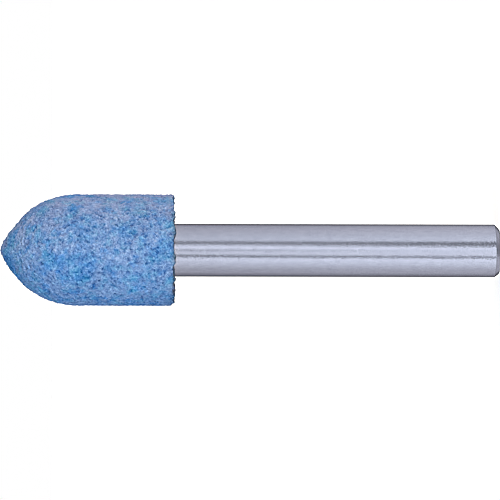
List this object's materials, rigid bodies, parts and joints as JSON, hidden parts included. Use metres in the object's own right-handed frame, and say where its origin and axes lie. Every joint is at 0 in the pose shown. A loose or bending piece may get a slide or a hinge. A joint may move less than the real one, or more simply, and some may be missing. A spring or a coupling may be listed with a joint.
{
  "type": "mounted point",
  "caption": "Ogive abrasive head cemented on a plain round steel shank with a chamfered end, for grinding with a collet-held rotary tool.",
  "frame": {"origin": "centre of the shank's flat free end, on the axis of rotation", "axes": "+Z along the axis of rotation, from the shank's free end to the head's tip; X and Y are free, because the part is round"},
  "size_m": [0.0126, 0.0126, 0.0569],
  "materials": {
    "abrasive": "matte",
    "cement": "matte",
    "steel": "satin"
  },
  "bodies": {
    "root": {"abrasive_head": "abrasive", "bonding_cement": "cement", "shank": "steel"}
  },
  "joints": []
}
